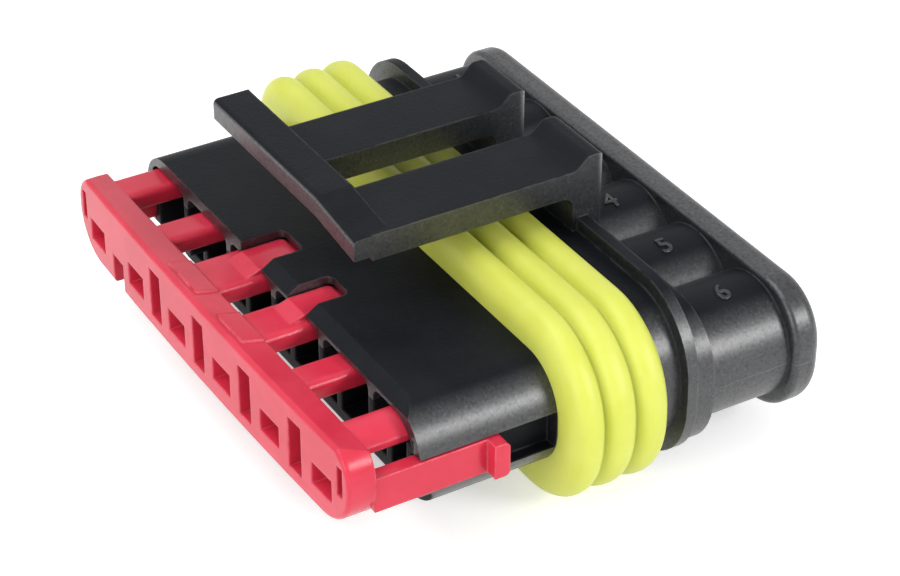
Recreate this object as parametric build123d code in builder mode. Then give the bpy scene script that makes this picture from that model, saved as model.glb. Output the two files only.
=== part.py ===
from build123d import *
import os

os.makedirs("parts", exist_ok=True)

# Sealed housing for a single row of contacts: wires enter at the rear (+Y), the mating half comes
# from the front (-Y). X runs along the row, Z is up, and the origin lies on the contact axis in the
# flange's rear face. A plane at distance d stands d forward of that face, at y = -d.

# Contact row
ways = 6
pitch = 6.0
row_x = [pitch * (way - (ways - 1) / 2) for way in range(ways)]

# Lengths along the wires, from the rear face forward
flange_length = 2.0
chamber_length = 5.45
rear_collar_length = 1.35
front_collar_length = 0.75
neck_length = 1.6
seal_length = 6.5
nose_length = 7.9
hood_reach = 1.15
lock_travel = 3.0
plate_thickness = 2.15

chamber_d = flange_length + chamber_length
collar_d = chamber_d + rear_collar_length
neck_d = collar_d + front_collar_length
seal_rear_d = neck_d + neck_length
seal_front_d = seal_rear_d + seal_length
nose_d = seal_front_d + nose_length
hood_d = nose_d + hood_reach
plate_rear_d = hood_d + lock_travel
plate_front_d = plate_rear_d + plate_thickness

# Nose shell
nose_end_wall = 2.75
nose_half_width = row_x[-1] + nose_end_wall
nose_top = 3.9
nose_bottom = -3.4
nose_left_radius = 2.65
nose_right_radius = 3.3
nose_bottom_radius = 3.3
shell_wall = 0.8
partition_wall = 0.55
arch_radius = 0.6
hood_low = -1.35
pocket_depth = 7.95
pocket_left_radius = 1.0

# The roof's front edge slopes on the right
roof_bevel = 0.85
roof_bevel_drop = 0.55
roof_bevel_x = -3.0

# Notches in the roof, and the channels behind them for the broad fingers' ridges
notch_depth = 2.95
notch_radius = 0.5
notch_spans = [(-4.2, -1.5), (1.85, 4.2)]
channel_wall = 0.48

# Contact passage and wire entry
entry_radius = 2.6
entry_depth = 10.4
passage_width = 2.7
passage_top = 0.95
passage_bottom = -1.7

# Spring lance over each passage
lance_width = 1.8
lance_thickness = 0.65
lance_length = 3.7
catch_length = 1.1
catch_drop = 0.35

# Guide groove for the lock's arms
groove_half_height = 1.27
groove_centre_z = 0.08
groove_depth = 1.05
groove_backing = 0.6
groove_shelf = 0.35

# Neck, collars, chambers and flange
neck_proud = 0.75
neck_top = 5.3
neck_bottom = -5.0
neck_radius = 4.6
front_collar_proud = 1.45
front_collar_top = 6.2
front_collar_bottom = -5.9
front_collar_left_radius = 4.4
front_collar_right_radius = 5.2
rear_collar_proud = 1.2
rear_collar_top = 4.6
rear_collar_bottom = -5.6
rear_collar_top_radius = 4.0
rear_collar_bottom_radius = 4.8
chamber_radius = 3.95
flange_lip = 0.55
flange_half_width = row_x[-1] + chamber_radius + flange_lip
flange_top = 4.35
flange_bottom = -4.7
flange_top_radius = 3.55
flange_bottom_radius = 4.3
flange_front_round = 0.4
flange_rear_round = 0.8

# Latch bridge
latch_top = 9.5
latch_thickness = 1.75
beam_spans = [(-6.45, -1.75), (1.9, 7.05)]
crest_top = 10.3
crest_d = 8.85
crest_rise = 0.85
crest_lead = 1.3
foot_rear_d = crest_d - crest_lead
foot_length = 2.3
foot_sink = 0.25
beam_rear_round = 0.7
ramp_round = 0.45
foot_round = 0.8
bar_front_d = 24.9
bar_depth = 2.45
bar_top = 10.1
bar_thickness = 1.4
bar_left_x = -10.9
bar_fold_x = 2.4
bar_right_drop = 0.65
bar_round = 0.35

# Interface seal, its collar of ribs standing proud of the nose all round
seal_side_wall = 2.4
seal_top_wall = 2.3
seal_bottom_wall = 2.85
seal_left_radius = 3.6
seal_right_radius = 5.9
seal_bottom_radius = 5.9
seal_groove_depth = 0.9
seal_ribs = 3
seal_rib_length = 1.5
seal_rib_round = 0.6

# Secondary lock: front plate
plate_overhang = 0.2
plate_half_width = nose_half_width + plate_overhang
plate_top = 3.44
plate_rear_top = 2.91
plate_bottom = -2.15
plate_top_radius = 2.1
plate_bottom_radius = 3.0
plate_bow = 0.38
plate_round = 0.25
test_slot_width = 1.46
test_slot_top = 2.29
test_slot_bottom = -1.2
test_slot_shift = 3.0
pin_hole_width = 2.3
pin_hole_height = 1.62
pin_hole_draft = 6.0
foot_notch_width = 1.6
foot_notch_shift = 3.2
foot_notch_top = 0.0
end_slot_width = 0.6
end_slot_top = 2.3
end_slot_bottom = 0.3
end_slot_inset = 0.95

# Secondary lock: fingers and arms
finger_half_width = 1.16
end_finger_half_width = 1.4
finger_clearance = 0.15
finger_thickness = 1.15
finger_length = 6.95
finger_round = 0.45
broad_spans = [(-5.07, -1.3), (1.45, 4.75)]
ridge_clearance = 0.12
ridge_rise = 1.0
pad_height = 0.13
arm_clearance = 0.12
arm_length = 8.35
hook_thickness = 1.0
hook_reach = 0.85
hook_round = 0.35


def shell_outline(half_width, top, bottom, left_radius, right_radius, bottom_radius):
    # Box with its own round for each upper corner and one for the lower two, on a plane across the wires
    with Locations((0, (top + bottom) / 2)):
        Rectangle(2 * half_width, top - bottom)
    fillet(vertices().group_by(Axis.Y)[-1].sort_by(Axis.X)[0], left_radius)
    fillet(vertices().group_by(Axis.Y)[-1].sort_by(Axis.X)[-1], right_radius)
    fillet(vertices().group_by(Axis.Y)[0], bottom_radius)


def box_between(x_low, x_high, z_low, z_high, mode=Mode.ADD):
    # Rectangle given by its limits, on a plane across the wires
    with Locations(((x_low + x_high) / 2, (z_low + z_high) / 2)):
        Rectangle(x_high - x_low, z_high - z_low, mode=mode)


ceiling = nose_top - shell_wall
floor = nose_bottom + shell_wall
pocket_d = hood_d - pocket_depth
partition_x = [(left + right) / 2 for left, right in zip(row_x, row_x[1:])]
groove_floor_x = nose_half_width - groove_depth
groove_low = groove_centre_z - groove_half_height
groove_high = groove_centre_z + groove_half_height
channel_top = nose_top - channel_wall

with BuildPart() as housing:
    # Rear flange with soft rims, and the wire chambers
    with BuildSketch(Plane.XZ):
        shell_outline(
            flange_half_width,
            flange_top,
            flange_bottom,
            flange_top_radius,
            flange_top_radius,
            flange_bottom_radius,
        )
    extrude(amount=flange_length)
    fillet(housing.faces().sort_by(Axis.Y)[-1].edges(), flange_rear_round)
    fillet(housing.faces().sort_by(Axis.Y)[0].edges(), flange_front_round)
    with BuildSketch(Plane.XZ.offset(flange_length)):
        with Locations(*[(x, 0) for x in row_x]):
            Circle(chamber_radius)
    extrude(amount=chamber_length)

    # Collars behind the seal, and the neck between them and it
    with BuildSketch(Plane.XZ.offset(chamber_d)):
        shell_outline(
            nose_half_width + rear_collar_proud,
            rear_collar_top,
            rear_collar_bottom,
            rear_collar_top_radius,
            rear_collar_top_radius,
            rear_collar_bottom_radius,
        )
    extrude(amount=rear_collar_length)
    with BuildSketch(Plane.XZ.offset(collar_d)):
        shell_outline(
            nose_half_width + front_collar_proud,
            front_collar_top,
            front_collar_bottom,
            front_collar_left_radius,
            front_collar_right_radius,
            front_collar_right_radius,
        )
    extrude(amount=front_collar_length)
    with BuildSketch(Plane.XZ.offset(neck_d)):
        shell_outline(
            nose_half_width + neck_proud,
            neck_top,
            neck_bottom,
            neck_radius,
            neck_radius,
            neck_radius,
        )
    extrude(amount=neck_length)

    # Nose, its lower lip shorter than the hood above the guide grooves
    with BuildSketch(Plane.XZ.offset(seal_rear_d)) as nose_outline:
        shell_outline(
            nose_half_width,
            nose_top,
            nose_bottom,
            nose_left_radius,
            nose_right_radius,
            nose_bottom_radius,
        )
    extrude(amount=hood_d - seal_rear_d)
    with BuildSketch(Plane.XZ.offset(nose_d)):
        box_between(-nose_half_width, nose_half_width, nose_bottom, hood_low)
    extrude(amount=hood_reach, mode=Mode.SUBTRACT)

    # Front pocket, with its partitions and the backing of the guide grooves left standing
    with BuildSketch(Plane.XZ.offset(pocket_d)):
        shell_outline(
            nose_half_width - shell_wall,
            ceiling,
            floor,
            pocket_left_radius,
            nose_right_radius - shell_wall,
            nose_bottom_radius - shell_wall,
        )
        for x in partition_x:
            box_between(x - partition_wall / 2, x + partition_wall / 2, floor, ceiling, Mode.SUBTRACT)
        for side in (-1, 1):
            backing = sorted([side * (groove_floor_x - groove_backing), side * nose_half_width])
            box_between(*backing, groove_low - groove_shelf, groove_high + groove_shelf, Mode.SUBTRACT)
    extrude(amount=pocket_depth, mode=Mode.SUBTRACT)

    # Arched heads of the partitions
    with BuildSketch(Plane.XZ.offset(pocket_d)):
        for x in partition_x:
            reach = partition_wall / 2 + arch_radius
            box_between(x - reach, x + reach, ceiling - arch_radius, ceiling)
            with Locations((x - reach, ceiling - arch_radius), (x + reach, ceiling - arch_radius)):
                Circle(arch_radius, mode=Mode.SUBTRACT)
    extrude(amount=pocket_depth)

    # Guide grooves down both ends
    with BuildSketch(Plane.XZ.offset(seal_front_d)):
        for side in (-1, 1):
            groove = sorted([side * groove_floor_x, side * (nose_half_width + groove_depth)])
            box_between(*groove, groove_low, groove_high)
    extrude(amount=hood_d - seal_front_d, mode=Mode.SUBTRACT)

    # Sloping front edge of the roof, then the notches and the channels behind them
    with BuildSketch(Plane.YZ.offset(roof_bevel_x)):
        with BuildLine():
            Polyline(
                (-hood_d, nose_top),
                (-hood_d + roof_bevel, nose_top),
                (-hood_d, nose_top - roof_bevel_drop),
                close=True,
            )
        make_face()
    extrude(amount=nose_half_width - roof_bevel_x, mode=Mode.SUBTRACT)
    with BuildSketch(Plane.XY.offset(ceiling)):
        for low, high in notch_spans:
            with Locations(((low + high) / 2, -hood_d + notch_depth / 2)):
                Rectangle(high - low, notch_depth)
        fillet(vertices().group_by(Axis.Y)[-1], notch_radius)
    extrude(amount=shell_wall, mode=Mode.SUBTRACT)
    with BuildSketch(Plane.XZ.offset(pocket_d)):
        for low, high in notch_spans:
            box_between(low, high, ceiling, channel_top)
    extrude(amount=pocket_depth, mode=Mode.SUBTRACT)

    # Latch beams, rising to a crest over the feet that carry them on the collar
    for low, high in beam_spans:
        with BuildSketch(Plane.YZ.offset(low)):
            with BuildLine():
                Polyline(
                    (-bar_front_d + bar_depth / 2, latch_top),
                    (-crest_d - crest_rise, latch_top),
                    (-crest_d, crest_top),
                    (-foot_rear_d, crest_top),
                    (-foot_rear_d, rear_collar_top - foot_sink),
                    (-foot_rear_d - foot_length, rear_collar_top - foot_sink),
                    (-foot_rear_d - foot_length, latch_top - latch_thickness),
                    (-bar_front_d + bar_depth / 2, latch_top - latch_thickness),
                    close=True,
                )
            make_face()
            fillet(vertices().sort_by_distance((-crest_d - crest_rise, latch_top))[0], ramp_round)
            fillet(vertices().sort_by_distance((-crest_d, crest_top))[0], ramp_round)
            inner_corner = (-foot_rear_d - foot_length, latch_top - latch_thickness)
            fillet(vertices().sort_by_distance(inner_corner)[0], foot_round)
        extrude(amount=high - low)
    rear_edges = housing.edges().filter_by_position(Axis.Y, -foot_rear_d - 0.01, -foot_rear_d + 0.01)
    fillet(rear_edges.filter_by_position(Axis.Z, rear_collar_top + foot_sink, crest_top), beam_rear_round)

    # Press bar across both beams, its right part sloping down
    with BuildSketch(Plane.XZ.offset(bar_front_d)):
        with BuildLine():
            Polyline(
                (bar_left_x, bar_top),
                (bar_fold_x, bar_top),
                (beam_spans[-1][1], bar_top - bar_right_drop),
                (beam_spans[-1][1], bar_top - bar_thickness - bar_right_drop),
                (bar_fold_x, bar_top - bar_thickness),
                (bar_left_x, bar_top - bar_thickness),
                close=True,
            )
        make_face()
    extrude(amount=-bar_depth)
    bar_edges = housing.edges().filter_by_position(Axis.Y, -bar_front_d - 0.01, -bar_front_d + 0.01)
    fillet(bar_edges.filter_by_position(Axis.Z, bar_top - bar_right_drop, bar_top), bar_round)

    # Contact passages with their spring lances, and the round wire entries
    with BuildSketch(Plane.XZ.offset(entry_depth)):
        for x in row_x:
            box_between(x - passage_width / 2, x + passage_width / 2, passage_bottom, passage_top)
    extrude(amount=pocket_d - entry_depth, mode=Mode.SUBTRACT)
    for x in row_x:
        with BuildSketch(Plane.YZ.offset(x - lance_width / 2)):
            with BuildLine():
                lance_d = pocket_d + lance_length
                Polyline(
                    (-pocket_d, passage_top + lance_thickness),
                    (-lance_d, passage_top + lance_thickness),
                    (-lance_d, passage_top - catch_drop),
                    (-lance_d + catch_length, passage_top),
                    (-pocket_d, passage_top),
                    close=True,
                )
            make_face()
        extrude(amount=lance_width)
    with BuildSketch(Plane.XZ):
        with Locations(*[(x, 0) for x in row_x]):
            Circle(entry_radius)
    extrude(amount=entry_depth, mode=Mode.SUBTRACT)

with BuildPart() as interface_seal:
    rib_pitch = (seal_length - seal_rib_length) / (seal_ribs - 1)

    def seal_outline(inset):
        # The seal's own outline, smaller all round by the inset
        shell_outline(
            nose_half_width + seal_side_wall - inset,
            nose_top + seal_top_wall - inset,
            nose_bottom - seal_bottom_wall + inset,
            seal_left_radius - inset,
            seal_right_radius - inset,
            seal_bottom_radius - inset,
        )

    for rib in range(seal_ribs):
        with BuildSketch(Plane.XZ.offset(seal_rear_d + rib * rib_pitch)):
            seal_outline(0)
        extrude(amount=seal_rib_length)
    for rib in range(seal_ribs):
        near_d = seal_rear_d + rib * rib_pitch
        for rim_d in (near_d, near_d + seal_rib_length):
            rim = interface_seal.edges().filter_by_position(Axis.Y, -rim_d - 0.01, -rim_d + 0.01)
            fillet(rim, seal_rib_round)
    with BuildSketch(Plane.XZ.offset(seal_rear_d)):
        seal_outline(seal_groove_depth)
    extrude(amount=seal_length)
    with BuildSketch(Plane.XZ.offset(seal_rear_d)):
        add(nose_outline.sketch_local)
    extrude(amount=seal_length, mode=Mode.SUBTRACT)

finger_top = ceiling - finger_clearance
finger_low = finger_top - finger_thickness
finger_halves = [end_finger_half_width] + [finger_half_width] * (ways - 1)
narrow_spans = [
    (x - half, x + finger_half_width)
    for x, half in zip(row_x, finger_halves)
    if not any(low < x < high for low, high in broad_spans)
]
arm_outer_x = nose_half_width
arm_inner_x = groove_floor_x + arm_clearance
arm_low = groove_low + arm_clearance
arm_high = groove_high - arm_clearance
ridge_top = channel_top - ridge_clearance
ridge_rear_d = hood_d - notch_depth + ridge_clearance
arm_end_d = plate_rear_d - arm_length
pad_front_d = plate_front_d - plate_bow - plate_round
plate_slope = (plate_top - plate_rear_top) / plate_thickness
pad_front_top = plate_rear_top + pad_height + plate_slope * (pad_front_d - plate_rear_d)

with BuildSketch() as pocket_clear:
    shell_outline(
        nose_half_width - shell_wall - finger_clearance,
        finger_top,
        floor,
        pocket_left_radius - finger_clearance,
        nose_right_radius - shell_wall - finger_clearance,
        nose_bottom_radius - shell_wall,
    )

with BuildPart() as secondary_lock:
    # Front plate, sloping back at its top and bowed in plan
    with BuildSketch(Plane.XZ.offset(plate_rear_d)):
        shell_outline(
            plate_half_width,
            plate_top,
            plate_bottom,
            plate_top_radius,
            plate_top_radius,
            plate_bottom_radius,
        )
    extrude(amount=plate_thickness)
    with BuildSketch(Plane.YZ):
        with BuildLine():
            Polyline(
                (-plate_rear_d, plate_bottom),
                (-plate_front_d, plate_bottom),
                (-plate_front_d, plate_top),
                (-plate_rear_d, plate_rear_top),
                close=True,
            )
        make_face()
    extrude(amount=plate_half_width, both=True, mode=Mode.INTERSECT)
    with BuildSketch(Plane.XY.offset(plate_bottom)):
        with BuildLine():
            front_arc = ThreePointArc(
                (-plate_half_width, -plate_front_d + plate_bow),
                (0, -plate_front_d),
                (plate_half_width, -plate_front_d + plate_bow),
            )
            Polyline(
                front_arc @ 1,
                (plate_half_width, -plate_rear_d),
                (-plate_half_width, -plate_rear_d),
                front_arc @ 0,
            )
        make_face()
    extrude(amount=plate_top - plate_bottom, mode=Mode.INTERSECT)
    fillet(secondary_lock.faces().sort_by(Axis.Y)[0].edges(), plate_round)

    # Raised pads where the broad fingers run over the plate
    for low, high in broad_spans:
        with BuildSketch(Plane.YZ.offset(low)):
            with BuildLine():
                Polyline(
                    (-plate_rear_d, finger_low),
                    (-pad_front_d, finger_low),
                    (-pad_front_d, pad_front_top),
                    (-plate_rear_d, plate_rear_top + pad_height),
                    close=True,
                )
            make_face()
        extrude(amount=high - low)

    # Fingers that reach under the roof, shaped to clear its rounded ends
    with BuildSketch(Plane.XZ.offset(plate_rear_d)):
        for low, high in narrow_spans + broad_spans:
            box_between(low, high, finger_low, finger_top)
        fillet(vertices().group_by(Axis.Y)[-1], finger_round)
        add(pocket_clear.sketch, mode=Mode.INTERSECT)
    extrude(amount=-finger_length)

    # Ridges that rise from the broad fingers into the roof's notches
    with BuildSketch(Plane.XY.offset(finger_low)):
        for low, high in notch_spans:
            with Locations(((low + high) / 2, -(hood_d + ridge_rise + ridge_rear_d) / 2)):
                Rectangle(high - low - 2 * ridge_clearance, hood_d + ridge_rise - ridge_rear_d)
        fillet(vertices().group_by(Axis.Y)[-1], notch_radius - ridge_clearance)
    extrude(amount=ridge_top - finger_low)
    with BuildSketch(Plane.YZ.offset(notch_spans[0][0])):
        with BuildLine():
            Polyline(
                (-hood_d - ridge_rise, finger_top),
                (-hood_d, ridge_top),
                (-hood_d - ridge_rise, ridge_top),
                close=True,
            )
        make_face()
    extrude(amount=notch_spans[-1][1] - notch_spans[0][0], mode=Mode.SUBTRACT)

    # Arms in the guide grooves, each ending in an outward hook
    for side in (-1, 1):
        arm = sorted([side * arm_inner_x, side * arm_outer_x])
        with BuildSketch(Plane.XZ.offset(plate_rear_d)):
            box_between(*arm, arm_low, arm_high)
        extrude(amount=hook_thickness - arm_length)
        hook = sorted([side * arm_inner_x, side * (arm_outer_x + hook_reach)])
        with BuildSketch(Plane.YZ.offset(hook[0])):
            with Locations((-arm_end_d - hook_thickness / 2, groove_centre_z)):
                Rectangle(hook_thickness, arm_high - arm_low)
            fillet(vertices().group_by(Axis.X)[-1], hook_round)
        extrude(amount=hook[1] - hook[0])

    # Slots and notch through the plate, and the drafted contact holes
    with BuildSketch(Plane.XZ.offset(plate_rear_d)):
        for x in row_x[1:-1]:
            with Locations((x + test_slot_shift, (test_slot_top + test_slot_bottom) / 2)):
                Rectangle(test_slot_width, test_slot_top - test_slot_bottom)
        with Locations((row_x[0] + foot_notch_shift, (foot_notch_top + plate_bottom) / 2)):
            Rectangle(foot_notch_width, foot_notch_top - plate_bottom)
        for side in (-1, 1):
            with Locations((side * (plate_half_width - end_slot_inset), (end_slot_top + end_slot_bottom) / 2)):
                Rectangle(end_slot_width, end_slot_top - end_slot_bottom)
    extrude(amount=plate_thickness, mode=Mode.SUBTRACT)
    with BuildSketch(Plane.XZ.offset(plate_front_d)):
        with Locations(*[(x, 0) for x in row_x]):
            Rectangle(pin_hole_width, pin_hole_height)
    extrude(amount=-plate_thickness, taper=pin_hole_draft, mode=Mode.SUBTRACT)

housing.part.label = "housing"
export_step(housing.part, "parts/housing.step")

interface_seal.part.label = "interface_seal"
export_step(interface_seal.part, "parts/interface_seal.step")

secondary_lock.part.label = "secondary_lock"
export_step(secondary_lock.part, "parts/secondary_lock.step")
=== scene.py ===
import math

import bmesh
import bpy
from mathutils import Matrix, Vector


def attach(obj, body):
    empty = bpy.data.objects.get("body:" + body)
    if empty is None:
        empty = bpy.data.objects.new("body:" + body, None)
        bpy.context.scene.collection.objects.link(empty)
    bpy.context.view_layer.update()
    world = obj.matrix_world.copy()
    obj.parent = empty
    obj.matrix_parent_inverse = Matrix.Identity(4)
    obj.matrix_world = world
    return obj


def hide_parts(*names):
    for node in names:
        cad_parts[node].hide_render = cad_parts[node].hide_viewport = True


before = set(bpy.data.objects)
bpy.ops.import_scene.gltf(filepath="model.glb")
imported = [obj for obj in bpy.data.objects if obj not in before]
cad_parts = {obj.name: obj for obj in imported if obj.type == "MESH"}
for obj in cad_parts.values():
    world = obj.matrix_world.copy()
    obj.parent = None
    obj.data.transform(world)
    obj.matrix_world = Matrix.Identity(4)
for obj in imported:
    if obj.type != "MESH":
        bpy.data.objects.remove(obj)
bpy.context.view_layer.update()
mm = 0.001
print("frame loaded:", ", ".join(sorted(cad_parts)))


# Camera at the photograph's angle, measured from the part's own edges
view = {
    "eye": (121.828, -86.641, 92.651),  # mm
    "azimuth": 59.297,
    "elevation": 33.552,
    "lens": 107.83,  # for a 36 mm sensor across 900 px
}


def addCamera():
    data = bpy.data.cameras.new("camera")
    data.lens = view["lens"]
    data.sensor_width = 36
    data.clip_start = 0.01
    data.clip_end = 20
    cam = bpy.data.objects.new("camera", data)
    cam.location = Vector(view["eye"]) * mm
    cam.rotation_euler = (
        math.radians(90 - view["elevation"]),
        0,
        math.radians(view["azimuth"]),
    )
    bpy.context.scene.collection.objects.link(cam)
    bpy.context.scene.camera = cam


addCamera()
print("camera set")


# Shader helpers
def makeGroup(name, inputs, outputs):
    # A shader group with named sockets: (name, kind, default) going in, (name, kind) coming out
    group = bpy.data.node_groups.new(name, "ShaderNodeTree")
    for label, kind, default in inputs:
        socket = group.interface.new_socket(label, in_out="INPUT", socket_type=kind)
        if default is not None:
            socket.default_value = default
    for label, kind in outputs:
        group.interface.new_socket(label, in_out="OUTPUT", socket_type=kind)
    start = group.nodes.new("NodeGroupInput")
    end = group.nodes.new("NodeGroupOutput")
    return group, start, end


def mathNode(tree, operation, first, second=None, clamp=False):
    node = tree.nodes.new("ShaderNodeMath")
    node.operation = operation
    node.use_clamp = clamp
    for place, value in enumerate((first, second)):
        if value is None:
            continue
        if isinstance(value, (int, float)):
            node.inputs[place].default_value = value
        else:
            tree.links.new(value, node.inputs[place])
    return node.outputs[0]


def rampNode(tree, value, low, high):
    # Values from low to high become 0 to 1, and stay there outside
    node = tree.nodes.new("ShaderNodeMapRange")
    node.interpolation_type = "SMOOTHSTEP"
    node.inputs["From Min"].default_value = low
    node.inputs["From Max"].default_value = high
    tree.links.new(value, node.inputs["Value"])
    return node.outputs["Result"]


def spanNode(tree, value, span):
    # Values from 0 to 1 become the span's low to high end
    low, high = span
    return mathNode(tree, "ADD", mathNode(tree, "MULTIPLY", value, high - low), low)


def mixColour(tree, factor, first, second, blend="MIX"):
    node = tree.nodes.new("ShaderNodeMix")
    node.data_type = "RGBA"
    node.blend_type = blend
    sockets = {"Factor": factor, "A": first, "B": second}
    for socket in node.inputs:
        if not socket.enabled or socket.name not in sockets:
            continue
        value = sockets[socket.name]
        if isinstance(value, bpy.types.NodeSocket):
            tree.links.new(value, socket)
        elif isinstance(value, tuple):
            socket.default_value = (*value, 1)
        else:
            socket.default_value = value
    return next(socket for socket in node.outputs if socket.enabled)


def noiseNode(tree, vector, scale, detail=2.0, roughness=0.5):
    node = tree.nodes.new("ShaderNodeTexNoise")
    node.inputs["Detail"].default_value = detail
    node.inputs["Roughness"].default_value = roughness
    tree.links.new(vector, node.inputs["Vector"])
    if isinstance(scale, (int, float)):
        node.inputs["Scale"].default_value = scale
    else:
        tree.links.new(scale, node.inputs["Scale"])
    return node.outputs["Fac"]


# Ranges over which the groups' masks rise from 0 to 1
maskRanges = {
    "turned": (0.02, 0.2),  # how far the rounded normal leaves the flat one
    "patches": (0.3, 0.6),
    "speckle": (0.57, 0.74),
}


def buildEdgeHighlight():
    # Rounded normal and a mask of the sharp edges in patches, where handling rubs the moulding
    # smooth; the same mask paints a pale highlight along the edges
    group, start, end = makeGroup(
        "edgeHighlight",
        [
            ("Vector", "NodeSocketVector", None),
            ("Radius", "NodeSocketFloat", 0.0002),
            ("Patchiness", "NodeSocketFloat", 900.0),
        ],
        [("Normal", "NodeSocketVector"), ("Mask", "NodeSocketFloat")],
    )
    bevel = group.nodes.new("ShaderNodeBevel")
    bevel.samples = 6
    group.links.new(start.outputs["Radius"], bevel.inputs["Radius"])
    facing = group.nodes.new("ShaderNodeNewGeometry")
    dot = group.nodes.new("ShaderNodeVectorMath")
    dot.operation = "DOT_PRODUCT"
    group.links.new(bevel.outputs["Normal"], dot.inputs[0])
    group.links.new(facing.outputs["Normal"], dot.inputs[1])
    turned = mathNode(group, "SUBTRACT", 1.0, dot.outputs["Value"])
    edge = rampNode(group, turned, *maskRanges["turned"])
    patches = noiseNode(group, start.outputs["Vector"], start.outputs["Patchiness"], 3.0)
    patchy = rampNode(group, patches, *maskRanges["patches"])
    # This mask is a painted edge highlight where it tints a colour, and polish where it lowers
    # roughness
    mask = mathNode(group, "MULTIPLY", edge, patchy, True)
    group.links.new(bevel.outputs["Normal"], end.inputs["Normal"])
    group.links.new(mask, end.inputs["Mask"])
    return group


def buildMouldGrain():
    # Fine pitted texture that an eroded steel mould leaves, with slow waves of flow under it
    group, start, end = makeGroup(
        "mouldGrain",
        [
            ("Vector", "NodeSocketVector", None),
            ("Grain", "NodeSocketFloat", 7000.0),
            ("Waves", "NodeSocketFloat", 250.0),
        ],
        [("Height", "NodeSocketFloat"), ("Flow", "NodeSocketFloat"), ("Speckle", "NodeSocketFloat")],
    )
    vector, grain = start.outputs["Vector"], start.outputs["Grain"]
    fine = noiseNode(group, vector, grain, 2.0, 0.6)
    pits = group.nodes.new("ShaderNodeTexVoronoi")
    pits.feature = "SMOOTH_F1"
    pits.inputs["Smoothness"].default_value = 0.6
    group.links.new(vector, pits.inputs["Vector"])
    group.links.new(mathNode(group, "MULTIPLY", grain, 0.6), pits.inputs["Scale"])
    height = mathNode(group, "ADD", fine, mathNode(group, "MULTIPLY", pits.outputs["Distance"], 0.5))
    flow = noiseNode(group, vector, start.outputs["Waves"], 4.0, 0.55)
    group.links.new(height, end.inputs["Height"])
    group.links.new(flow, end.inputs["Flow"])
    speckle = rampNode(group, fine, *maskRanges["speckle"])
    group.links.new(speckle, end.inputs["Speckle"])
    return group


# Marks of the mould, in mm from the flange's rear face, the row's middle and the contacts' height
markPlaces = {
    "outside": 18.3,
    "seamEnd": 7.4,
    "ringAhead": 8.14,
    "ringHeight": 0.2,
    "ringLine": 0.08,
}


def buildMouldMarks():
    # Seam of the two mould halves along the end chambers, and the round witness of an insert
    places = {label: value * mm for label, value in markPlaces.items()}
    group, start, end = makeGroup(
        "mouldMarks",
        [
            ("Vector", "NodeSocketVector", None),
            ("Seam Width", "NodeSocketFloat", 0.00006),
            ("Ring Radius", "NodeSocketFloat", 0.00042),
        ],
        [("Seam", "NodeSocketFloat"), ("Ring", "NodeSocketFloat")],
    )
    split = group.nodes.new("ShaderNodeSeparateXYZ")
    group.links.new(start.outputs["Vector"], split.inputs[0])
    x, y, z = split.outputs
    outer = mathNode(group, "GREATER_THAN", mathNode(group, "ABSOLUTE", x), places["outside"])
    rearPart = mathNode(group, "GREATER_THAN", y, -places["seamEnd"])
    aside = mathNode(group, "DIVIDE", mathNode(group, "ABSOLUTE", z), start.outputs["Seam Width"])
    line = mathNode(group, "SUBTRACT", 1.0, aside, True)
    seam = mathNode(group, "MULTIPLY", mathNode(group, "MULTIPLY", line, outer), rearPart)
    along = mathNode(group, "ADD", y, places["ringAhead"])
    up = mathNode(group, "SUBTRACT", z, places["ringHeight"])
    alongSquare = mathNode(group, "POWER", along, 2.0)
    square = mathNode(group, "ADD", alongSquare, mathNode(group, "POWER", up, 2.0))
    away = mathNode(group, "SUBTRACT", mathNode(group, "SQRT", square), start.outputs["Ring Radius"])
    thin = mathNode(group, "DIVIDE", mathNode(group, "ABSOLUTE", away), places["ringLine"])
    ring = mathNode(group, "MULTIPLY", mathNode(group, "SUBTRACT", 1.0, thin, True), outer)
    group.links.new(seam, end.inputs["Seam"])
    group.links.new(ring, end.inputs["Ring"])
    return group


edgeHighlight = buildEdgeHighlight()
mouldGrain = buildMouldGrain()
mouldMarks = buildMouldMarks()


def startMaterial(name):
    material = bpy.data.materials.new(name)
    material.use_nodes = True
    tree = material.node_tree
    tree.nodes.clear()
    shader = tree.nodes.new("ShaderNodeBsdfPrincipled")
    out = tree.nodes.new("ShaderNodeOutputMaterial")
    tree.links.new(shader.outputs["BSDF"], out.inputs["Surface"])
    place = tree.nodes.new("ShaderNodeTexCoord").outputs["Object"]
    return material, tree, shader, place


def placeGroup(tree, group, place, **values):
    node = tree.nodes.new("ShaderNodeGroup")
    node.node_tree = group
    tree.links.new(place, node.inputs["Vector"])
    for label, value in values.items():
        node.inputs[label].default_value = value
    return node.outputs


def addBump(tree, height, strength, distance, normal=None):
    node = tree.nodes.new("ShaderNodeBump")
    node.inputs["Strength"].default_value = strength
    node.inputs["Distance"].default_value = distance
    tree.links.new(height, node.inputs["Height"])
    if normal is not None:
        tree.links.new(normal, node.inputs["Normal"])
    return node.outputs["Normal"]


def addGlow(shader, s):
    shader.inputs["Subsurface Weight"].default_value = s["glow"]
    shader.inputs["Subsurface Radius"].default_value = s["glowColour"]
    shader.inputs["Subsurface Scale"].default_value = s["glowDepth"]


# Where the housing's walls were drawn against polished steel, in mm
drawnPlaces = {
    "behindSeal": 9.5,  # every side wall nearer the rear face than this
    "aboveNose": 2.2,  # and each one this far above the contacts
    "noseEnd": 16.9,  # or this far from the row's middle
    "flange": 2.05,  # nearer than this, all faces shine
    "flangeSheen": 0.9,  # as a share of the full sheen
}


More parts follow.
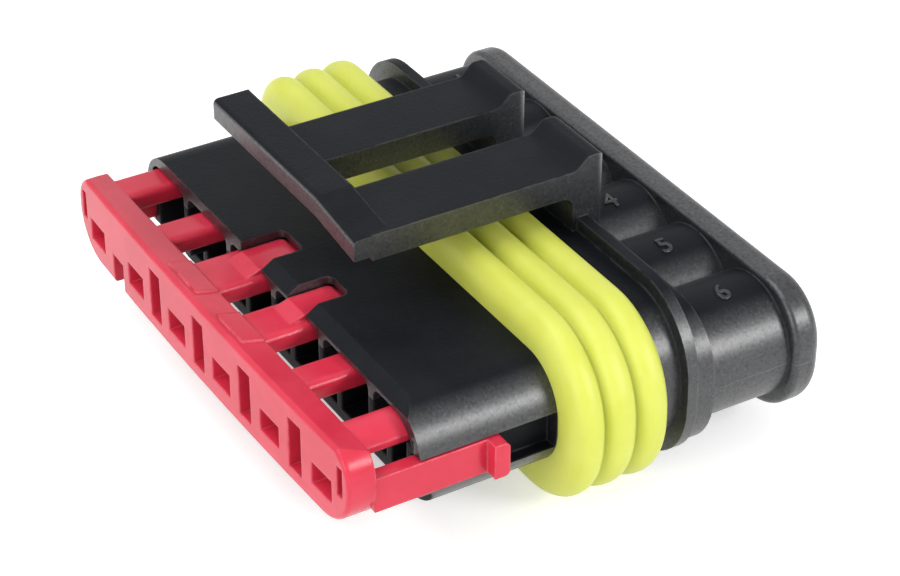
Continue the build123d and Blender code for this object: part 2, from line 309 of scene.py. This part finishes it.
blackFinish = {
    "colour": (0.0050, 0.0060, 0.0084),
    "tint": (0.0088, 0.0098, 0.0124),
    # pale specks of grain, painted denser on the shiny side walls as glints of their sheen
    "speckGlintColour": (0.042, 0.041, 0.041),
    # painted highlight colour along the edges, which the seam line takes too
    "edgeHighlightColour": (0.045, 0.045, 0.048),
    "roughness": (0.44, 0.54),
    "edgeRoughness": -0.14,  # added where an edge is rubbed
    "edgeRadius": 0.00026,
    "grain": 5600.0,
    "grainDepth": 0.000026,
    "grainStrength": 0.6,
    "flow": (0.35, 0.7),  # range of the slow waves that tint it
    "flatSpecks": 0.12,  # share of the pale specks left on matt faces
    "specular": 0.09,
    "coat": 1.0,  # sheen of the side walls, which are drawn against polished steel
    "coatRoughness": 0.37,
    "coatIOR": 1.66,
    "sideways": (0.30, 0.74),  # how far a face turns to the row's ends until it shines
    "lengthways": (0.7, 0.95),  # and how far to the front or rear
    "mottle": 0.34,  # how far the grain breaks up that sheen
    "mottleFloor": 0.74,
    "mottleRange": (0.45, 0.85),
    "markDepth": 0.00003,
    "markStrength": 0.9,
    "seamPaleness": 0.8,
}


def makeBlack(name, s):
    # Glass-filled black nylon: matt level faces, shinier side walls with pale specks painted denser
    # on them as glints, and edges rubbed smoother and painted lighter as a highlight
    material, tree, shader, place = startMaterial(name)
    grain = placeGroup(tree, mouldGrain, place, Grain=s["grain"])
    edgeShine = placeGroup(tree, edgeHighlight, place, Radius=s["edgeRadius"])
    marks = placeGroup(tree, mouldMarks, place)
    facing = tree.nodes.new("ShaderNodeSeparateXYZ")
    tree.links.new(tree.nodes.new("ShaderNodeTexCoord").outputs["Normal"], facing.inputs[0])
    sideways = rampNode(tree, mathNode(tree, "ABSOLUTE", facing.outputs[0]), *s["sideways"])
    lengthways = rampNode(tree, mathNode(tree, "ABSOLUTE", facing.outputs[1]), *s["lengthways"])
    upright = mathNode(tree, "MAXIMUM", sideways, lengthways)
    position = tree.nodes.new("ShaderNodeSeparateXYZ")
    tree.links.new(place, position.inputs[0])
    x, y, z = position.outputs
    behindSeal = mathNode(tree, "GREATER_THAN", y, -drawnPlaces["behindSeal"] * mm)
    aboveNose = mathNode(tree, "GREATER_THAN", z, drawnPlaces["aboveNose"] * mm)
    alongRow = mathNode(tree, "ABSOLUTE", x)
    onEnd = mathNode(tree, "GREATER_THAN", alongRow, drawnPlaces["noseEnd"] * mm)
    openWall = mathNode(tree, "MAXIMUM", mathNode(tree, "MAXIMUM", behindSeal, aboveNose), onEnd)
    drawnWall = mathNode(tree, "MULTIPLY", upright, openWall)
    onFlange = mathNode(tree, "GREATER_THAN", y, -drawnPlaces["flange"] * mm)
    flange = mathNode(tree, "MULTIPLY", onFlange, drawnPlaces["flangeSheen"])
    side = mathNode(tree, "MAXIMUM", drawnWall, flange)
    base = mixColour(tree, rampNode(tree, grain["Flow"], *s["flow"]), s["colour"], s["tint"])
    # Pale specks: grain, painted denser where the side walls shine, as glints
    glintShare = mathNode(tree, "ADD", side, s["flatSpecks"])
    speckGlints = mathNode(tree, "MULTIPLY", grain["Speckle"], glintShare, True)
    speckGlinted = mixColour(tree, speckGlints, base, s["speckGlintColour"])
    seam = mathNode(tree, "MULTIPLY", marks["Seam"], s["seamPaleness"])
    shown = mathNode(tree, "MAXIMUM", edgeShine["Mask"], seam)
    # Edges painted paler as a highlight, the seam line with them
    tree.links.new(mixColour(tree, shown, speckGlinted, s["edgeHighlightColour"]), shader.inputs["Base Color"])
    body = spanNode(tree, grain["Flow"], s["roughness"])
    polish = mathNode(tree, "MULTIPLY", edgeShine["Mask"], s["edgeRoughness"])
    tree.links.new(mathNode(tree, "ADD", body, polish, True), shader.inputs["Roughness"])
    spots = rampNode(tree, grain["Height"], *s["mottleRange"])
    mottle = mathNode(tree, "MULTIPLY", spots, s["mottle"])
    broken = mathNode(tree, "ADD", mottle, s["mottleFloor"])
    sheen = mathNode(tree, "MULTIPLY", mathNode(tree, "MULTIPLY", side, broken), s["coat"], True)
    tree.links.new(sheen, shader.inputs["Coat Weight"])
    shader.inputs["Coat Roughness"].default_value = s["coatRoughness"]
    shader.inputs["Coat IOR"].default_value = s["coatIOR"]
    shader.inputs["Specular IOR Level"].default_value = s["specular"]
    grained = addBump(tree, grain["Height"], s["grainStrength"], s["grainDepth"], edgeShine["Normal"])
    raised = mathNode(tree, "SUBTRACT", marks["Seam"], marks["Ring"])
    marked = addBump(tree, raised, s["markStrength"], s["markDepth"], grained)
    tree.links.new(marked, shader.inputs["Normal"])
    return material


redFinish = {
    "colour": (0.600, 0.025, 0.056),
    "tint": (0.675, 0.038, 0.077),
    # painted highlight colour along the edges
    "edgeHighlightColour": (0.840, 0.130, 0.180),
    "roughness": (0.18, 0.27),
    "edgeRadius": 0.00020,
    "grain": 9000.0,
    "grainDepth": 0.000005,
    "grainStrength": 0.5,
    "flow": (0.35, 0.7),
    "specular": 0.34,
    "glow": 0.12,  # share of light that goes under the surface
    "glowColour": (1.0, 0.15, 0.15),
    "glowDepth": 0.0008,
}


def makeRed():
    # Unfilled red polyester, smoother than the housing, painted paler along the edges as a highlight
    s = redFinish
    material, tree, shader, place = startMaterial("redMoulding")
    grain = placeGroup(tree, mouldGrain, place, Grain=s["grain"])
    edgeShine = placeGroup(tree, edgeHighlight, place, Radius=s["edgeRadius"])
    base = mixColour(tree, rampNode(tree, grain["Flow"], *s["flow"]), s["colour"], s["tint"])
    # Edges painted paler: a painted highlight
    edgeHighlighted = mixColour(tree, edgeShine["Mask"], base, s["edgeHighlightColour"])
    tree.links.new(edgeHighlighted, shader.inputs["Base Color"])
    tree.links.new(spanNode(tree, grain["Flow"], s["roughness"]), shader.inputs["Roughness"])
    shader.inputs["Specular IOR Level"].default_value = s["specular"]
    addGlow(shader, s)
    normal = addBump(tree, grain["Height"], s["grainStrength"], s["grainDepth"], edgeShine["Normal"])
    tree.links.new(normal, shader.inputs["Normal"])
    return material


sealFinish = {
    "colour": (0.605, 0.645, 0.090),
    "tint": (0.635, 0.675, 0.120),
    "roughness": (0.38, 0.50),
    "grain": 5000.0,
    "grainDepth": 0.000004,
    "grainStrength": 0.4,
    "waves": 400.0,
    "flow": (0.3, 0.7),
    "edgeRadius": 0.0004,
    "specular": 0.4,
    "glow": 0.35,
    "glowColour": (1.0, 1.0, 0.25),
    "glowDepth": 0.0015,
}


def makeSeal():
    # Soft yellow-green silicone, which scatters light a little under its oily skin
    s = sealFinish
    material, tree, shader, place = startMaterial("sealSilicone")
    grain = placeGroup(tree, mouldGrain, place, Grain=s["grain"], Waves=s["waves"])
    edgeShine = placeGroup(tree, edgeHighlight, place, Radius=s["edgeRadius"])
    base = mixColour(tree, rampNode(tree, grain["Flow"], *s["flow"]), s["colour"], s["tint"])
    tree.links.new(base, shader.inputs["Base Color"])
    tree.links.new(spanNode(tree, grain["Flow"], s["roughness"]), shader.inputs["Roughness"])
    shader.inputs["Specular IOR Level"].default_value = s["specular"]
    addGlow(shader, s)
    normal = addBump(tree, grain["Height"], s["grainStrength"], s["grainDepth"], edgeShine["Normal"])
    tree.links.new(normal, shader.inputs["Normal"])
    return material


blackMoulding = makeBlack("blackMoulding", blackFinish)
numberFinish = {**blackFinish, "specular": 0.45, "roughness": (0.28, 0.36)}
numberPolish = makeBlack("numberPolish", numberFinish)
redMoulding = makeRed()
sealSilicone = makeSeal()


def dress(nodeName, material):
    # The CAD solid keeps its mesh and takes the finish in its own slots
    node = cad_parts[nodeName]
    if not node.material_slots:
        node.data.materials.append(material)
    for slot in node.material_slots:
        slot.material = material


dress("housing", blackMoulding)
dress("secondary_lock", redMoulding)
print("moulded parts dressed")


# Seal: one rib profile carried round the nose
sealForm = {
    "halfWidth": 20.15,
    "top": 6.2,
    "bottom": -6.25,
    "radii": (5.9, 5.9, 3.6, 5.9),  # top right, bottom right, top left, bottom left
    "rear": 11.15,  # distances ahead of the flange's rear face
    "front": 17.65,
    "ribs": 3,
    "ribDepth": 0.8,
    "wall": 3.0,  # its inner side is hidden in the nose
    "innerInset": 0.05,  # and this much shorter at both ends
    "lip": 1.5,  # how far in the soft front edge runs
    "ribPower": 2.8,  # flatter crests and sharper valleys as it rises
    "ribSteps": 10,
    "lipSteps": 8,
    "cornerSteps": 16,
    "straightSteps": 4,
    "weld": 0.002,
    "sharpAngle": 50,
}


def ribProfile():
    # (depth in from the outside, distance ahead of the flange's rear face) once round the section
    form = sealForm
    step = (form["front"] - form["rear"]) / form["ribs"]
    half = form["ribSteps"] // 2
    points = []
    for part in range(form["ribs"] * form["ribSteps"] - half + 1):
        across = part % form["ribSteps"] / half - 1
        depth = form["ribDepth"] * abs(across) ** form["ribPower"]
        points.append((depth, form["rear"] + step * part / form["ribSteps"]))
    for part in range(1, form["lipSteps"] + 1):
        turn = math.radians(90 * part / form["lipSteps"])
        inward = form["lip"] * (1 - math.cos(turn))
        points.append((inward, form["front"] - step / 2 * (1 - math.sin(turn))))
    points.append((form["wall"], form["front"] - form["innerInset"]))
    points.append((form["wall"], form["rear"] + form["innerInset"]))
    return points


def addSeal():
    form = sealForm
    side, top, bottom = form["halfWidth"], form["top"], form["bottom"]
    topRight, bottomRight, topLeft, bottomLeft = form["radii"]
    corners = [
        (side - bottomRight, bottom + bottomRight, bottomRight),
        (-side + bottomLeft, bottom + bottomLeft, bottomLeft),
        (-side + topLeft, top - topLeft, topLeft),
        (side - topRight, top - topRight, topRight),
    ]
    outwards = [(0, 0, -1), (-1, 0, 0), (0, 0, 1), (1, 0, 0)]  # of the stretch after each corner
    bm = bmesh.new()
    x, z, radius = corners[0]
    outer = x + radius
    ring = [bm.verts.new(Vector((outer - depth, -ahead, z)) * mm) for depth, ahead in ribProfile()]
    edges = [bm.edges.new(pair) for pair in zip(ring, ring[1:] + ring[:1])]
    for number, (x, z, radius) in enumerate(corners):
        turned = bmesh.ops.spin(
            bm,
            geom=edges,
            cent=Vector((x, 0, z)) * mm,
            axis=(0, 1, 0),
            angle=math.radians(90),
            steps=form["cornerSteps"],
        )["geom_last"]
        nextX, nextZ, nextRadius = corners[(number + 1) % len(corners)]
        outward = Vector(outwards[number])
        start = Vector((x, 0, z)) + outward * radius
        end = Vector((nextX, 0, nextZ)) + outward * nextRadius
        last = [item for item in turned if isinstance(item, bmesh.types.BMEdge)]
        for piece in range(form["straightSteps"]):
            moved = bmesh.ops.extrude_edge_only(bm, edges=last)["geom"]
            verts = [item for item in moved if isinstance(item, bmesh.types.BMVert)]
            bmesh.ops.translate(bm, verts=verts, vec=(end - start) * mm / form["straightSteps"])
            last = [item for item in moved if isinstance(item, bmesh.types.BMEdge)]
            last = [edge for edge in last if edge.verts[0] in verts and edge.verts[1] in verts]
        edges = last
    bmesh.ops.remove_doubles(bm, verts=bm.verts, dist=form["weld"] * mm)
    bmesh.ops.recalc_face_normals(bm, faces=bm.faces)
    for face in bm.faces:
        face.smooth = True
    mesh = bpy.data.meshes.new("sealRing")
    bm.to_mesh(mesh)
    bm.free()
    mesh.materials.append(sealSilicone)
    mesh.set_sharp_from_angle(angle=math.radians(form["sharpAngle"]))
    seal = bpy.data.objects.new("sealRing", mesh)
    bpy.context.scene.collection.objects.link(seal)
    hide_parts("interface_seal")
    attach(seal, "housing")
    print("seal faces:", len(mesh.polygons))


addSeal()


# Raised chamber numbers, read along the chambers
numberForm = {
    "size": 1.9,
    "height": 0.09,
    "bevel": 0.02,
    "radius": 3.95,  # of the round chambers
    "pitch": 6.0,
    "ahead": 4.7,  # distance ahead of the flange's rear face
    "lean": 7.0,  # degrees from the top, towards +X
    "curveSteps": 4,
    "count": 6,
    "weld": 0.001,
}


def addNumbers():
    form = numberForm
    bm = bmesh.new()
    for chamber in range(form["count"]):
        text = bpy.data.curves.new("digit", "FONT")
        text.body = str(chamber + 1)
        text.size = form["size"]
        text.align_x = "CENTER"
        text.align_y = "CENTER"
        text.extrude = form["height"]
        text.resolution_u = form["curveSteps"]
        text.bevel_depth = form["bevel"]
        carrier = bpy.data.objects.new("digit", text)
        bpy.context.scene.collection.objects.link(carrier)
        bpy.context.view_layer.update()
        digit = carrier.to_mesh()
        before = len(bm.verts)
        bm.from_mesh(digit)
        bm.verts.ensure_lookup_table()
        centre = form["pitch"] * (chamber - (form["count"] - 1) / 2)
        for vert in bm.verts[before:]:
            turn = math.radians(form["lean"]) - vert.co.y / form["radius"]
            reach = form["radius"] + vert.co.z
            ahead = form["ahead"] - vert.co.x
            across, up = reach * math.sin(turn), reach * math.cos(turn)
            vert.co = Vector((centre + across, -ahead, up)) * mm
        carrier.to_mesh_clear()
        bpy.data.objects.remove(carrier)
        bpy.data.curves.remove(text)
    bmesh.ops.remove_doubles(bm, verts=bm.verts, dist=form["weld"] * mm)
    bmesh.ops.recalc_face_normals(bm, faces=bm.faces)
    mesh = bpy.data.meshes.new("chamberNumbers")
    bm.to_mesh(mesh)
    bm.free()
    mesh.materials.append(numberPolish)
    numbers = bpy.data.objects.new("chamberNumbers", mesh)
    bpy.context.scene.collection.objects.link(numbers)
    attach(numbers, "housing")
    print("number faces:", len(mesh.polygons))


addNumbers()


# Plain floor, which takes the soft shadow under the part
floorSettings = {
    "side": 4.0,  # m
    "height": -6.32 * mm,
    "colour": (0.86, 0.86, 0.86),
    "glow": 0.48,  # lifts it to white where it is seen or mirrored
}


def addFloor():
    mesh = bpy.data.meshes.new("floor")
    bm = bmesh.new()
    bmesh.ops.create_grid(bm, x_segments=1, y_segments=1, size=floorSettings["side"] / 2)
    bmesh.ops.translate(bm, verts=bm.verts, vec=(0, 0, floorSettings["height"]))
    bm.to_mesh(mesh)
    bm.free()
    floor = bpy.data.objects.new("floor", mesh)
    bpy.context.scene.collection.objects.link(floor)
    material = bpy.data.materials.new("paleFloor")
    material.use_nodes = True
    tree = material.node_tree
    tree.nodes.clear()
    matt = tree.nodes.new("ShaderNodeBsdfDiffuse")
    matt.inputs["Color"].default_value = (*floorSettings["colour"], 1)
    glow = tree.nodes.new("ShaderNodeEmission")
    seen = lightPathSeen(tree)
    tree.links.new(mathNode(tree, "MULTIPLY", seen, floorSettings["glow"]), glow.inputs["Strength"])
    both = tree.nodes.new("ShaderNodeAddShader")
    tree.links.new(matt.outputs[0], both.inputs[0])
    tree.links.new(glow.outputs[0], both.inputs[1])
    out = tree.nodes.new("ShaderNodeOutputMaterial")
    tree.links.new(both.outputs[0], out.inputs["Surface"])
    mesh.materials.append(material)


def lightPathSeen(tree):
    # 1 for rays that show the background: straight, mirrored or through something clear
    path = tree.nodes.new("ShaderNodeLightPath")
    seen = mathNode(tree, "MAXIMUM", path.outputs["Is Camera Ray"], path.outputs["Is Glossy Ray"])
    return mathNode(tree, "MAXIMUM", seen, path.outputs["Is Transmission Ray"])


# Soft studio light: an even room and three large lamps, in mm and W
roomLight = 0.48
lamps = {
    "keyLamp": {"place": (-60, -160, 330), "size": 260, "power": 0.68},
    "sideLamp": {"place": (300, 165, 175), "size": 120, "power": 0.78},
    "frontLamp": {"place": (150, -310, 110), "size": 200, "power": 0.46},
}


def addWorld():
    world = bpy.data.worlds.new("room")
    world.use_nodes = True
    tree = world.node_tree
    back = tree.nodes["Background"]
    back.inputs["Color"].default_value = (1, 1, 1, 1)
    seen = lightPathSeen(tree)
    rest = mathNode(tree, "MULTIPLY", mathNode(tree, "SUBTRACT", 1.0, seen), roomLight)
    tree.links.new(mathNode(tree, "ADD", seen, rest), back.inputs["Strength"])
    bpy.context.scene.world = world


def addLamps():
    for name, lamp in lamps.items():
        data = bpy.data.lights.new(name, "AREA")
        data.shape = "SQUARE"
        data.size = lamp["size"] * mm
        data.energy = lamp["power"]
        light = bpy.data.objects.new(name, data)
        place = Vector(lamp["place"]) * mm
        light.location = place
        light.rotation_euler = (-place).to_track_quat("-Z", "Y").to_euler()
        bpy.context.scene.collection.objects.link(light)


addFloor()
addWorld()
addLamps()
bpy.context.scene.view_settings.view_transform = "Standard"
print("floor and lamps set")
